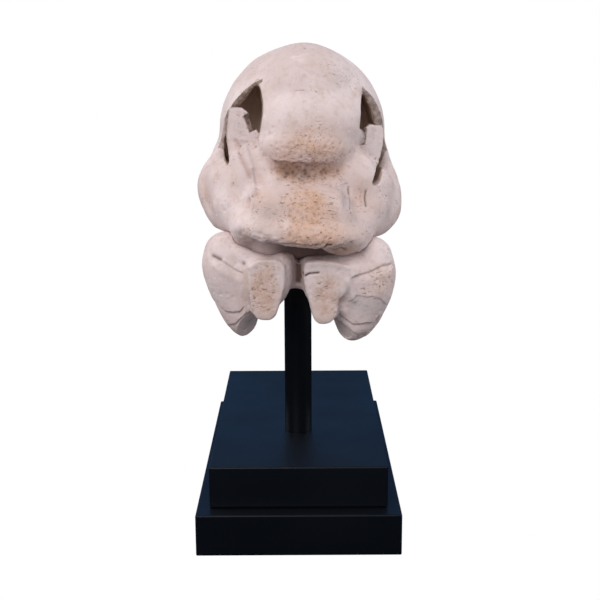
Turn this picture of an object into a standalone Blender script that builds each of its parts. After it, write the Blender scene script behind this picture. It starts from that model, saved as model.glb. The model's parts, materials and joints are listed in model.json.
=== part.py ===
"""A dome-headed dinosaur skull with its lower jaw, on a black stepped stand.

Blender 4.5, metres, +Z up.  The origin is the middle of the stand's underside, the face looks
along -Y, and +X is on the right of someone facing it.  The stand is drawn in metres.  The bones
are drawn in millimetres in the skull's own upright frame, then leant and turned onto the rod.
"""

from math import cos, pi, radians, sin

import bmesh
import bpy
import numpy as np
from mathutils import Matrix, Vector

MM = 0.001
GAP = 0.0003

# The stand: two stepped blocks and a round rod.
LOWER_SIZE = Vector((0.180, 0.326, 0.0378))
UPPER_SIZE = Vector((0.157, 0.304, 0.0378))
UPPER_SHIFT = 0.005
BLOCK_EDGE = 0.0012
ROD_RADIUS = 0.0128
ROD_Y = -0.045
ROD_TOP = 0.274

# How the bones sit on the rod: both lean to the right about the rod's top, and the skull's nose
# is turned a little to the right as well.
PIVOT = Vector((0.0, -45.0, 230.0))
SKULL_LEAN = radians(2.0)
SKULL_TURN = radians(3.0)
JAW_LEAN = radians(2.0)

# The dome, and the eye openings in its front as (x, z) outlines: the left one is larger.
DOME_CENTRE = (4, 24, 357)
DOME_RADII = (79.8, 104, 80.5)
LEFT_OPENING = [(-40.5, 403), (-46, 395), (-52, 388), (-59, 379), (-65, 372), (-68, 356), (-68, 336),
                (-64, 320), (-54, 316), (-46, 338), (-39.5, 353), (-37.5, 360), (-36.5, 368), (-35.5, 377),
                (-36, 385), (-38, 394)]
RIGHT_OPENING = [(55, 399), (59, 390), (64, 381), (67, 373), (70, 366), (77, 360), (80, 350),
                 (78, 336), (75, 324), (70, 312), (60, 308), (54, 330), (52, 352), (51, 368), (53, 384)]
# The broken front of the side walls, as (x, y) lines.
LEFT_RIM = [(-39.5, -40), (-54, -30), (-61, -24), (-67, -16), (-75, -12), (-110, 2)]
RIGHT_RIM = [(54, -34), (61, -28), (71, -18), (79, -8), (110, 22)]
# The slits beside the plates, lower down.
LEFT_SLIT = [(-70, 352), (-71, 340), (-69, 331), (-66.5, 327), (-65, 330), (-65.5, 340), (-67.5, 352)]
RIGHT_SLIT = [(76, 352), (78, 352), (77.5, 344), (77, 338), (75.5, 330), (73.5, 322), (71, 317),
              (67, 314), (63.5, 315), (62.5, 318), (65, 324), (69, 330), (72, 336), (74.5, 343)]
# The plates of bone that stand in the openings, and the thicker roots they melt into the face by.
LEFT_PLATE = [(-66, 378), (-61, 379.5), (-55, 379.5), (-50, 376.5), (-45, 369), (-41.5, 361.5),
              (-38, 354), (-36, 330), (-60, 316), (-65, 330), (-66, 340), (-68, 354), (-67, 368)]
RIGHT_PLATE = [(50, 349), (54, 352), (54, 359), (57, 364), (62, 368), (68, 367), (74, 367),
               (77, 361), (76, 350), (74.5, 342), (72.5, 335), (70.5, 329), (67, 322), (63, 313), (46, 322)]
LEFT_ROOT = [(-64, 347), (-53, 347), (-44, 338), (-40, 318), (-60, 312), (-65, 326)]
RIGHT_ROOT = [(52, 344), (73, 347), (72, 336), (70, 328), (66, 316), (46, 318)]

# The two prongs at the front of the lower jaw.
LEFT_PRONG = [(-44, 246), (-43, 230), (-42, 217), (-40, 207), (-36, 200), (-30, 197), (-23, 197.5),
              (-18.5, 202), (-16, 210), (-13, 220), (-11, 231), (-11, 245), (-15, 251.5), (-25, 253),
              (-34, 252), (-40, 249)]
RIGHT_PRONG = [(5, 236), (5, 251), (14, 253), (28, 253), (45, 249), (47, 241), (44, 231), (40, 220),
               (37, 211), (34, 203), (30, 198), (25, 195.5), (20, 196), (15, 201), (11, 212), (8, 223)]

# Where the skull is parted, in millimetres.
SUTURE_Z = 322
SNOUT_BACK = -72
CHEEK_X = 57
CHEEK_BACK = 44

VOXEL = 3.2
FIRST_SMOOTH = 10
LAST_SMOOTH = 3
MELT_ROUNDS = 11
SKULL_FACES = 5000
JAW_FACES = 2060


# ---------------------------------------------------------------- tools

def collection(name, hidden=False):
    made = bpy.data.collections.new(name)
    bpy.context.scene.collection.children.link(made)
    made.hide_render = hidden
    return made


def material(name, colour, roughness, metallic=0.0):
    made = bpy.data.materials.new(name)
    made.use_nodes = True
    shader = made.node_tree.nodes["Principled BSDF"]
    shader.inputs["Base Color"].default_value = (*colour, 1)
    shader.inputs["Roughness"].default_value = roughness
    shader.inputs["Metallic"].default_value = metallic
    return made


def add_object(name, mesh, home):
    made = bpy.data.objects.new(name, mesh)
    home.objects.link(made)
    return made


def unit_ball():
    """A ball of radius 1, which every rounded shape here is a copy of."""
    form = bmesh.new()
    bmesh.ops.create_icosphere(form, subdivisions=3, radius=1)
    return mesh_of("unit_ball", form)


def mesh_of(name, form):
    mesh = bpy.data.meshes.new(name)
    form.to_mesh(mesh)
    form.free()
    return mesh


UNIT_BALL = unit_ball()


def ball(form, centre, radii, tilt=0, side=1):
    """An ellipsoid; tilt turns it in the front view, in degrees, and side -1 mirrors it."""
    x, y, z = centre
    place = Matrix.Translation((side * x, y, z))
    turn = Matrix.Rotation(radians(side * tilt), 4, "Y")
    mesh = UNIT_BALL.copy()
    mesh.transform(place @ turn @ Matrix.Diagonal((*radii, 1)))
    form.from_mesh(mesh)
    bpy.data.meshes.remove(mesh)


def curve_through(points, steps):
    """Points on a smooth curve through the given ones, each an (x, y, z, radius)."""
    knots = [Vector(p) for p in points]
    knots = [2 * knots[0] - knots[1], *knots, 2 * knots[-1] - knots[-2]]
    found = []
    for a, b, c, d in zip(knots, knots[1:], knots[2:], knots[3:]):
        for step in range(steps):
            t = step / steps
            found.append(0.5 * (2 * b + (c - a) * t + (2 * a - 5 * b + 4 * c - d) * t ** 2
                                + (3 * b - a - 3 * c + d) * t ** 3))
    found.append(knots[-2])
    return found


def limb(form, points, side=1, steps=5, depth=1.0):
    """A bar of changing thickness: close balls along a smooth curve, each deeper along Y if asked."""
    for x, y, z, radius in curve_through(points, steps):
        ball(form, (x, y, z), (radius, depth * radius, radius), side=side)


def prism(form, outline, low, high, axis="Z", slope=0):
    """An outline drawn out along an axis: of (x, y) corners along Z, or of (x, z) ones along Y.

    Along Y, slope sets the outer corners further back than those at x = 40.
    """
    if axis == "Z":
        corners = [(a, b, low) for a, b in outline]
        way = (0, 0, high - low)
    else:
        corners = [(a, low + slope * (abs(a) - 40), b) for a, b in outline]
        way = (0, high - low, 0)
    flat = bmesh.new()
    base = flat.faces.new([flat.verts.new(corner) for corner in corners])
    drawn = bmesh.ops.extrude_face_region(flat, geom=[base])["geom"]
    moved = [item for item in drawn if isinstance(item, bmesh.types.BMVert)]
    bmesh.ops.translate(flat, verts=moved, vec=way)
    bmesh.ops.recalc_face_normals(flat, faces=flat.faces)
    mesh = mesh_of("prism", flat)
    form.from_mesh(mesh)
    bpy.data.meshes.remove(mesh)


def applied(made):
    """Replaces the object's mesh with its modified one."""
    bpy.context.view_layer.update()
    graph = bpy.context.evaluated_depsgraph_get()
    mesh = bpy.data.meshes.new_from_object(made.evaluated_get(graph))
    made.modifiers.clear()
    made.data = mesh
    return made


def fused(made, voxel, smoothing):
    """Overlapping shapes made one closed skin, and its creases softened."""
    remesh = made.modifiers.new("Fuse", "REMESH")
    remesh.mode = "VOXEL"
    remesh.voxel_size = voxel
    if smoothing:
        soften = made.modifiers.new("Soften", "SMOOTH")
        soften.factor = 0.5
        soften.iterations = smoothing
    return applied(made)


def soften(made, weight, rounds):
    """Draws each point towards its neighbours' middle, as far as the weight there says."""
    mesh = made.data
    count = len(mesh.vertices)
    points = np.empty(3 * count, np.float32)
    mesh.vertices.foreach_get("co", points)
    points = points.reshape(-1, 3).astype(float)
    ends = np.empty(2 * len(mesh.edges), np.int32)
    mesh.edges.foreach_get("vertices", ends)
    one, other = ends.reshape(-1, 2).T
    near, far = np.concatenate([one, other]), np.concatenate([other, one])
    shares = np.bincount(near, minlength=count)[:, None]
    pull = 0.5 * weight(*points.T)[:, None]
    for _ in range(rounds):
        sums = [np.bincount(near, points[far, axis], count) for axis in range(3)]
        points += pull * (np.stack(sums, axis=1) / shares - points)
    mesh.vertices.foreach_set("co", points.astype(np.float32).ravel())
    mesh.update()


def gathered(name, pieces, home):
    """Overlapping objects in one mesh, ready to be fused."""
    form = bmesh.new()
    for piece in pieces:
        form.from_mesh(piece.data)
    return add_object(name, mesh_of(name, form), home)


def joined(made, other, operation):
    step = made.modifiers.new(operation.title(), "BOOLEAN")
    step.operation = operation
    step.object = other
    return applied(made)


def thinned(made, faces):
    thin = made.modifiers.new("Thin", "DECIMATE")
    thin.ratio = faces / sum(len(face.vertices) - 2 for face in made.data.polygons)
    return applied(made)


def placed(made, lean, turn):
    """From the bones' upright frame in millimetres to their place on the rod in metres."""
    about = Matrix.Translation(PIVOT)
    rest = about @ Matrix.Rotation(lean, 4, "Y") @ Matrix.Rotation(turn, 4, "Z") @ about.inverted()
    made.data.transform(Matrix.Scale(MM, 4) @ rest)


def dressed(made, name, home, skin):
    """The finished node: named, coloured and shaded."""
    made.name = name
    made.data.name = name
    for old in list(made.users_collection):
        old.objects.unlink(made)
    home.objects.link(made)
    made.data.materials.clear()
    made.data.materials.append(skin)
    made.data.shade_smooth()
    made.data.set_sharp_from_angle(angle=radians(50))
    return made


# ---------------------------------------------------------------- the skull

def hood(helpers):
    """The dome, forehead and side walls, with the eye openings cut into their front."""
    form = bmesh.new()
    ball(form, DOME_CENTRE, DOME_RADII)
    ball(form, (2, 66, 326), (68, 66, 62))
    ball(form, (4, 4, 399), (50, 74, 38.5))
    ball(form, (3, 10, 412), (22, 50, 27))
    ball(form, (6, -34, 366), (54, 54, 40))
    ball(form, (2, -50, 347), (47, 45, 24))
    for y, inset in ((-12, 2.5), (14, 0), (40, 0)):
        limb(form, [(inset - 60, y, 366, 13.5), (inset - 64, y, 346, 13.5), (-70, y, 331, 13.5),
                    (-82, y, 308, 13)])
        limb(form, [(68 - inset, y, 366, 14), (71.5 - inset, y, 348, 13.5), (76, y, 334, 13.5),
                    (84, y, 310, 13)])
    for side in (-1, 1):
        wide = 64 + 4 * side
        limb(form, [(wide, 70, 368, 14), (wide + 1, 74, 340, 14), (66, 76, 312, 14)], side)
        limb(form, [(84, -8, 306, 12), (82, 34, 298, 11), (70, 62, 292, 12)], side)
    dome = fused(add_object("hood", mesh_of("hood", form), helpers), VOXEL, FIRST_SMOOTH)

    form = bmesh.new()
    prism(form, LEFT_OPENING, -160, 34, "Y")
    prism(form, RIGHT_OPENING, -160, 34, "Y")
    joined(dome, add_object("openings", mesh_of("openings", form), helpers), "DIFFERENCE")

    form = bmesh.new()
    prism(form, [(LEFT_RIM[0][0], -200), *LEFT_RIM, (-110, -200)], 320, 470)
    prism(form, [(RIGHT_RIM[0][0], -200), *RIGHT_RIM, (110, -200)], 320, 470)
    return joined(dome, add_object("rim_cuts", mesh_of("rim_cuts", form), helpers), "DIFFERENCE")


def face(helpers):
    """Nose saddle, snout and lip, the palate behind it, and the flaring cheeks."""
    form = bmesh.new()
    ball(form, (0, -42, 318), (60, 46, 34))
    ball(form, (0, -74, 295), (47, 52, 26))
    ball(form, (-27, -88, 297), (25, 34, 22))
    ball(form, (27, -87, 292), (24, 33, 22))
    ball(form, (0, -84, 283), (46, 44, 15))
    ball(form, (0, -30, 268), (50, 34, 19))
    ball(form, (0, 0, 292), (62, 80, 28))
    limb(form, [(-54, -98, 279, 9), (-43, -111, 280, 10), (-28, -120, 278, 10), (-10, -127, 277, 10),
                (4, -129, 275.5, 10), (18, -127, 275, 10), (32, -119, 274, 11), (46, -106, 272, 11)])
    limb(form, [(-59, -91, 273, 6), (-55, -98, 269, 3.5)])
    limb(form, [(22, -112, 267, 8), (34, -108, 264, 9), (46, -101, 266, 9), (56, -90, 272, 9)])
    limb(form, [(-50, -83, 266, 11), (-26, -84, 259, 10), (0, -80, 258, 10), (26, -82, 259, 10),
                (48, -84, 267, 11)])
    limb(form, [(-75, -14, 330, 10), (-80, -14, 318, 12)])
    limb(form, [(80, -2, 346, 5), (81, -3, 336, 7), (82, -4, 326, 9), (85, -6, 316, 10)])
    limb(form, [(-82, -12, 318, 11), (-80, -22, 305, 16), (-76, -36, 293, 15.5), (-69, -50, 281, 14),
                (-58, -70, 283, 14), (-46, -94, 281, 12)])
    limb(form, [(82, -12, 318, 11), (81, -22, 306, 16), (79, -32, 290, 18), (72, -46, 281, 16),
                (60, -68, 281, 15), (48, -92, 279, 12)])
    for side in (-1, 1):
        limb(form, [(46, -47, 342, 8), (47, -54, 332, 13), (50, -63, 316, 17)], side)
        limb(form, [(54, -54, 330, 13), (56, -60, 308, 18)], side)
        ball(form, (63, -36, 306), (25, 30, 27), side=side)
        ball(form, (58, -56, 294), (24, 28, 20), side=side)
        limb(form, [(80, -14, 297, 15), (78, 14, 292, 12)], side)
    prism(form, LEFT_ROOT, -53, -36, "Y", slope=0.5)
    prism(form, RIGHT_ROOT, -53, -36, "Y", slope=0.5)
    return fused(add_object("face", mesh_of("face", form), helpers), VOXEL, FIRST_SMOOTH // 2)


def plates(helpers):
    """The thin broken plates that stand in the eye openings, left sharp."""
    form = bmesh.new()
    prism(form, LEFT_PLATE, -54, -46, "Y", slope=0.5)
    prism(form, RIGHT_PLATE, -54, -46, "Y", slope=0.5)
    return add_object("plates", mesh_of("plates", form), helpers)


def back_of_skull(helpers):
    """Nuchal shelf with its knobs, the side processes, the neck condyle and the quadrates."""
    form = bmesh.new()
    ball(form, (0, 84, 318), (54, 46, 44))
    limb(form, [(-62, 92, 352, 9), (-50, 110, 358, 11), (0, 126, 362, 12), (52, 110, 358, 11),
                (70, 86, 352, 10)])
    for step in range(-3, 4):
        angle = radians(24 * step)
        ball(form, (5 + 70 * sin(angle), 46 + 90 * cos(angle), 353), (8, 8, 9))
    ball(form, (0, 122, 288), (13, 14, 12))
    limb(form, [(0, 118, 288, 13), (0, 80, 284, 18), (0, 40, 282, 22)])
    for side in (-1, 1):
        limb(form, [(20, 112, 316, 14), (44, 110, 310, 12), (62, 96, 298, 10)], side)
        limb(form, [(60, 76, 316, 13), (58, 68, 290, 11), (55, 60, 266, 9)], side)
        ball(form, (54, 58, 257), (12, 9, 8), side=side)
        limb(form, [(74, 30, 290, 11), (62, 54, 276, 10)], side)
        limb(form, [(20, 60, 278, 14), (38, 40, 270, 10), (50, 8, 266, 8)], side)
    made = add_object("back_of_skull", mesh_of("back_of_skull", form), helpers)
    return fused(made, VOXEL, FIRST_SMOOTH // 2)


def skull_openings(helpers):
    """What is cut through the walls: the side windows, the nostrils and the neck opening."""
    form = bmesh.new()
    for side in (-1, 1):
        ball(form, (86, 53, 322), (26, 16, 16), side=side)
        ball(form, (52, -98, 298), (11, 11, 6), tilt=20, side=side)
        ball(form, (30, 96, 416), (12, 15, 16), side=side)
    ball(form, (0, 132, 308), (10, 20, 9))
    return add_object("skull_openings", mesh_of("skull_openings", form), helpers)


def soft_places(x, y, z):
    """Where the masses melt together: below the openings, on the forehead and at the back."""
    low = np.clip((353 - z) / 9, 0, 1) * (y < 30)
    forehead = np.clip((36 - np.abs(x - 5.5)) / 8, 0, 1) * (y < 0) * (z > 340)
    behind = np.clip((y - 30) / 10, 0, 1) * (z < 400)
    return np.maximum(np.maximum(low, forehead), 0.8 * behind)


def whole_skull(helpers):
    pieces = [hood(helpers), face(helpers), back_of_skull(helpers)]
    rough = fused(gathered("rough_skull", pieces, helpers), VOXEL, 0)
    soften(rough, soft_places, MELT_ROUNDS)
    form = bmesh.new()
    prism(form, LEFT_SLIT, -60, 25, "Y")
    prism(form, RIGHT_SLIT, -75, 25, "Y")
    joined(rough, add_object("slits", mesh_of("slits", form), helpers), "DIFFERENCE")
    made = fused(gathered("skull", [rough, plates(helpers)], helpers), VOXEL, 1)
    joined(made, skull_openings(helpers), "DIFFERENCE")
    fused(made, VOXEL, LAST_SMOOTH)
    thinned(made, SKULL_FACES)
    placed(made, SKULL_LEAN, SKULL_TURN)
    return made


# ---------------------------------------------------------------- the lower jaw

def whole_jaw(helpers):
    """Both halves of the jaw: side lobes, front prongs, the bridge between them and the rami."""
    form = bmesh.new()
    limb(form, [(-66, -78, 252, 19), (-65, -81, 240, 21), (-61, -85, 222, 18.5), (-54.5, -87, 207, 17.5),
                (-49, -87, 195, 15), (-47.5, -86, 187, 10)], depth=1.2)
    limb(form, [(66, -78, 252, 19), (66, -81, 238, 22.5), (64.5, -85, 222, 21), (59, -87, 206, 19),
                (53.5, -87, 194, 16), (51, -86, 187, 11)], depth=1.2)
    prism(form, LEFT_PRONG, -114, -84, "Y")
    prism(form, RIGHT_PRONG, -114, -84, "Y")
    limb(form, [(-56, -88, 248, 13), (-32, -93, 243, 12), (-14, -82, 241, 12), (-2, -75, 240, 12),
                (10, -82, 241, 12), (26, -92, 243, 12), (58, -86, 246, 15)])
    limb(form, [(-56, -94, 254, 9), (-38, -100, 248, 9), (-20, -98, 244, 9)])
    limb(form, [(-22, -86, 228, 13), (-12, -83, 233, 12.5), (0, -80, 234.5, 12.5), (9, -83, 233, 12.5),
                (17, -86, 229, 12)])
    limb(form, [(-15, -99, 247, 11), (-15, -99, 232, 10.5), (-18, -98, 219, 8)])
    limb(form, [(-11, -91, 248, 9.5), (-11, -91, 232, 9)])
    limb(form, [(9, -92, 246, 8), (9, -92, 233, 7.5), (13, -92, 220, 6)])
    limb(form, [(-46, -96, 240, 13), (-46, -96, 224, 12), (-45, -95, 211, 8)])
    limb(form, [(46, -97, 240, 14), (47, -97, 224, 13), (47, -95, 210, 12)])
    limb(form, [(47, -88, 206, 13), (45.5, -88, 198, 12.5), (48, -88, 189, 11)])
    for side in (-1, 1):
        limb(form, [(62, -62, 236, 22), (66, -30, 232, 18), (66, 5, 232, 16), (62, 40, 234, 13),
                    (57, 62, 237, 10), (54, 82, 236, 9)], side)
        limb(form, [(62, -60, 246, 14), (66, -20, 246, 11), (66, 14, 250, 10), (63, 34, 246, 9)], side)
        ball(form, (56, 58, 238), (13, 13, 8), side=side)
    made = fused(add_object("jaw", mesh_of("jaw", form), helpers), VOXEL, FIRST_SMOOTH)
    thinned(made, JAW_FACES)
    placed(made, JAW_LEAN, 0)
    return made


# ---------------------------------------------------------------- parting

def region(name, low, high, helpers):
    """A box between two corners, in metres, used to keep one part of a whole form."""
    form = bmesh.new()
    (x0, y0, z0), (x1, y1, z1) = low, high
    prism(form, [(x0, y0), (x1, y0), (x1, y1), (x0, y1)], z0, z1)
    return add_object(name, mesh_of(name, form), helpers)


def part_of(whole, name, keep, leave, helpers, home, skin):
    """The part of a whole form inside the box keep and outside each box of leave."""
    piece = add_object(name, whole.data.copy(), helpers)
    joined(piece, region("keep_" + name, *keep, helpers), "INTERSECT")
    for low, high in leave:
        joined(piece, region("leave_" + name, low, high, helpers), "DIFFERENCE")
    return dressed(piece, name, home, skin)


def clear_of(made, neighbour, helpers):
    """Cuts the neighbour's shape, a gap larger, out of the object."""
    cutter = add_object("clear_" + made.name, neighbour.data.copy(), helpers)
    grow = cutter.modifiers.new("Grow", "DISPLACE")
    grow.strength = 2 * GAP
    grow.mid_level = 0
    joined(made, applied(cutter), "DIFFERENCE")


def add_skull(home, helpers, skin):
    skull = whole_skull(helpers)
    jaw = whole_jaw(helpers)
    clear_of(jaw, skull, helpers)

    form = bmesh.new()
    wide = ROD_RADIUS + GAP
    circle = [(wide * cos(pi * i / 16), ROD_Y + wide * sin(pi * i / 16)) for i in range(32)]
    prism(form, circle, 0, ROD_TOP + GAP)
    joined(skull, add_object("rod_socket", mesh_of("rod_socket", form), helpers), "DIFFERENCE")

    far = 0.4
    half = GAP / 2
    suture, cheek = SUTURE_Z * MM, CHEEK_X * MM
    snout, back = SNOUT_BACK * MM, CHEEK_BACK * MM
    dome = (-far, -far, suture + half), (far, far, 2 * far)
    nose = (half - cheek, -far, 0), (cheek - half, snout - half, suture - half)
    left = (-far, -far, 0), (-cheek - half, back, suture - half)
    right = (cheek + half, -far, 0), (far, back, suture - half)
    base = (-far, -far, 0), (far, far, suture - half)
    taken = [
        ((-cheek - half, -far, 0), (cheek + half, snout + half, far)),
        ((-far, -2 * far, 0), (half - cheek, back + GAP, far)),
        ((cheek - half, -2 * far, 0), (far, back + GAP, far)),
    ]
    part_of(skull, "skull_dome", dome, [], helpers, home, skin)
    part_of(skull, "snout", nose, [], helpers, home, skin)
    part_of(skull, "cheek_left", left, [], helpers, home, skin)
    part_of(skull, "cheek_right", right, [], helpers, home, skin)
    part_of(skull, "skull_base", base, taken, helpers, home, skin)
    part_of(jaw, "jaw_left", ((-far, -far, 0), (-half, far, far)), [], helpers, home, skin)
    part_of(jaw, "jaw_right", ((half, -far, 0), (far, far, far)), [], helpers, home, skin)


# ---------------------------------------------------------------- the stand

def add_block(name, size, low, shift, home, skin):
    bpy.ops.mesh.primitive_cube_add(size=1, location=(0, shift, low + size.z / 2))
    made = bpy.context.object
    made.scale = size
    bpy.ops.object.transform_apply(location=False, rotation=False, scale=True)
    edge = made.modifiers.new("Edge", "BEVEL")
    edge.width = BLOCK_EDGE
    edge.segments = 2
    dressed(made, name, home, skin)


def add_rod(home, skin):
    low = LOWER_SIZE.z + UPPER_SIZE.z + 2 * GAP
    bpy.ops.mesh.primitive_cylinder_add(vertices=48, radius=ROD_RADIUS, depth=ROD_TOP - low,
                                        location=(0, ROD_Y, (ROD_TOP + low) / 2))
    dressed(bpy.context.object, "stand_rod", home, skin)


def main():
    for old in list(bpy.data.objects):
        bpy.data.objects.remove(old)
    home = collection("dinosaur_skull_on_stand")
    helpers = collection("helpers", hidden=True)
    bone = material("fossil_bone", (0.62, 0.52, 0.42), 0.75)
    black = material("black_lacquer", (0.012, 0.014, 0.02), 0.4)
    add_skull(home, helpers, bone)
    for helper in helpers.objects:
        helper.hide_render = True
        helper.display_type = "WIRE"
    add_block("stand_plinth_lower", LOWER_SIZE, 0, 0, home, black)
    add_block("stand_plinth_upper", UPPER_SIZE, LOWER_SIZE.z + GAP, UPPER_SHIFT, home, black)
    add_rod(home, black)


main()
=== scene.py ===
"""A dome-headed dinosaur's fossil skull on its stepped black stand, as it looks in a showcase.

The bones are modelled in millimetres in the skull's own upright frame and then set on the rod.
They are built from rounded masses fused into one skin, cut where bone is broken away, and then
worked over with creases, swellings, facets, cracks and pits.  Five amounts are painted on the
skin as it is worked, and the bone material reads them: dirt together with painted shade, stain
and grey, inside for the walls of a hollow, and rim for a broken face.
"""

import json
from math import cos, pi, radians, sin

import bmesh
import bpy
import numpy as np
from mathutils import Matrix, Vector
from mathutils.bvhtree import BVHTree

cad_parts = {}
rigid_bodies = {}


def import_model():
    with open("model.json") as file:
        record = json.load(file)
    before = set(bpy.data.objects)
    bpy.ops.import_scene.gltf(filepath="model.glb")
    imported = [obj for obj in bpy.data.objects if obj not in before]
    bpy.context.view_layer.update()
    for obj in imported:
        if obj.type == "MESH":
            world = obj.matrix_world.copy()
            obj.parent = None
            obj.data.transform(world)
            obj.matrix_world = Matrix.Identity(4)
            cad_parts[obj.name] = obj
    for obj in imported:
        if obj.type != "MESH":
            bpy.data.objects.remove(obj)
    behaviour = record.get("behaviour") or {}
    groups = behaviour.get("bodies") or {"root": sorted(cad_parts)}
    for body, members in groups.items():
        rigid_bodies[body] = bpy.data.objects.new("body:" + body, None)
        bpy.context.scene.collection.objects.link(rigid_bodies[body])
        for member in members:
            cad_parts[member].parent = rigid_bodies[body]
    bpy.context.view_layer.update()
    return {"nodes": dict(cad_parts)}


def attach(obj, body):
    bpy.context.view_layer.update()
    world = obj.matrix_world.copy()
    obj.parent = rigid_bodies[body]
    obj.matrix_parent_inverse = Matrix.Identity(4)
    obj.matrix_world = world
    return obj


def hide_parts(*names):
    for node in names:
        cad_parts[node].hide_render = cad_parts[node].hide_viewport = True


MM = 0.001

# How the bones sit on the rod, as in the solids.
PIVOT = Vector((0.0, -45.0, 230.0))
SKULL_LEAN = radians(2.0)
SKULL_TURN = radians(3.0)
JAW_LEAN = radians(2.0)
ROD_Y = -0.045
ROD_RADIUS = 0.0128
ROD_TOP = 0.274
SOCKET_GAP = 0.0003
JAW_GAP = 0.0004

# The dome, and the eye openings in its front as (x, z) outlines.  A rim is an (x, y) line that
# the bone in front of an opening is cut back to.  A plate stands in each opening on its root,
# and a slit parts it from the side wall.
DOME_CENTRE = (4, 24, 357)
DOME_RADII = (79.8, 104, 80.5)
LEFT_OPENING = [(-40.5, 403), (-46, 395), (-52, 388), (-59, 379), (-65, 372), (-68, 356),
                (-68, 336), (-64, 320), (-54, 316), (-46, 338), (-39.5, 353), (-37.5, 360),
                (-36.5, 368), (-35.5, 377), (-36, 385), (-38, 394)]
RIGHT_OPENING = [(55, 399), (59, 390), (64, 381), (67, 373), (70, 366), (77, 360), (80, 350),
                 (78, 336), (75, 324), (70, 312), (60, 308), (54, 330), (52, 352), (51, 368),
                 (53, 384)]
LEFT_RIM = [(-39.5, -40), (-54, -30), (-61, -24), (-67, -16), (-75, -12), (-110, 2)]
RIGHT_RIM = [(54, -34), (61, -28), (71, -18), (79, -8), (110, 22)]
LEFT_ROOT = [(-64, 347), (-53, 347), (-44, 338), (-40, 318), (-60, 312), (-65, 326)]
RIGHT_ROOT = [(52, 344), (73, 347), (72, 336), (70, 328), (66, 316), (46, 318)]
LEFT_SLIT = [(-70, 352), (-71, 340), (-69, 331), (-66.5, 327), (-65, 330), (-65.5, 340),
             (-67.5, 352)]
RIGHT_SLIT = [(76, 352), (78, 352), (77.5, 344), (77, 338), (75.5, 330), (73.5, 322), (71, 317),
              (67, 314), (63.5, 315), (62.5, 318), (65, 324), (69, 330), (72, 336), (74.5, 343)]
LEFT_PLATE = [(-66, 378), (-61, 379.5), (-55, 379.5), (-50, 376.5), (-45, 369), (-41.5, 361.5),
              (-38, 354), (-36, 330), (-60, 316), (-65, 330), (-66, 340), (-68, 354), (-67, 368)]
RIGHT_PLATE = [(50, 349), (54, 352), (54, 359), (57, 364), (62, 368), (68, 367), (74, 367),
               (77, 361), (76, 350), (74.5, 342), (72.5, 335), (70.5, 329), (67, 322), (63, 313),
               (46, 322)]
LEFT_PRONG = [(-44, 246), (-43, 230), (-42, 217), (-40, 207), (-36, 200), (-30, 197), (-23, 197.5),
              (-18.5, 202), (-16, 210), (-13, 220), (-11, 231), (-11, 245), (-15, 251.5),
              (-25, 253), (-34, 252), (-40, 249)]
RIGHT_PRONG = [(5, 236), (5, 251), (14, 253), (28, 253), (45, 249), (47, 241), (44, 231),
               (40, 220), (37, 211), (34, 203), (30, 198), (25, 195.5), (20, 196), (15, 201),
               (11, 212), (8, 223)]

# How far these reach from front to back along Y, and the rims from foot to top along Z.
OPENING_DEPTH = (-160, 34)
LEFT_SLIT_DEPTH = (-60, 25)
RIGHT_SLIT_DEPTH = (-75, 25)
ROOT_DEPTH = (-53, -36)
PLATE_DEPTH = (-54, -46)
PRONG_DEPTH = (-114, -84)
RIM_HEIGHTS = (320, 470)
# Plates and roots run back towards the sides: so much for each millimetre past this x.
SIDE_SLOPE = 0.5
SLOPE_START = 40

ROUGH_VOXEL = 2.0
SKIN_VOXEL = 0.9
# The painted amounts; the first holds dirt and painted shade together.
PAINTS = ("dirt", "stain", "grey", "inside", "rim")

CAMERA_SPOT = Vector((0.00206, -1.0537, 0.4263))
CAMERA_PITCH = radians(12.488)
CAMERA_ROLL = radians(-0.289)
CAMERA_LENS = 66
CAMERA_SENSOR = 36

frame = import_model()
helpers = bpy.data.collections.new("helpers")
bpy.context.scene.collection.children.link(helpers)


# ---------------------------------------------------------------- making forms

def mesh_of(name, form):
    mesh = bpy.data.meshes.new(name)
    form.to_mesh(mesh)
    form.free()
    return mesh


def add_object(name, mesh, home=helpers):
    made = bpy.data.objects.new(name, mesh)
    home.objects.link(made)
    return made


def unit_ball():
    form = bmesh.new()
    bmesh.ops.create_icosphere(form, subdivisions=4, radius=1)
    return mesh_of("unit_ball", form)


UNIT_BALL = unit_ball()


def ball(form, centre, radii, tilt=0, side=1):
    """An ellipsoid; tilt turns it in the front view, in degrees, and side -1 mirrors it."""
    x, y, z = centre
    place = Matrix.Translation((side * x, y, z))
    turn = Matrix.Rotation(radians(side * tilt), 4, "Y")
    mesh = UNIT_BALL.copy()
    mesh.transform(place @ turn @ Matrix.Diagonal((*radii, 1)))
    form.from_mesh(mesh)
    bpy.data.meshes.remove(mesh)


def curve_through(points, steps):
    """Points on a smooth curve through the given ones, each an (x, y, z, radius)."""
    knots = [Vector(p) for p in points]
    knots = [2 * knots[0] - knots[1], *knots, 2 * knots[-1] - knots[-2]]
    found = []
    for a, b, c, d in zip(knots, knots[1:], knots[2:], knots[3:]):
        for step in range(steps):
            t = step / steps
            found.append(0.5 * (2 * b + (c - a) * t + (2 * a - 5 * b + 4 * c - d) * t ** 2
                                + (3 * b - a - 3 * c + d) * t ** 3))
    found.append(knots[-2])
    return found


def limb(form, points, side=1, steps=5, depth=1.0):
    """A bar of changing thickness: close balls along a smooth curve, deeper along Y if asked."""
    for x, y, z, radius in curve_through(points, steps):
        ball(form, (x, y, z), (radius, depth * radius, radius), side=side)


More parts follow.
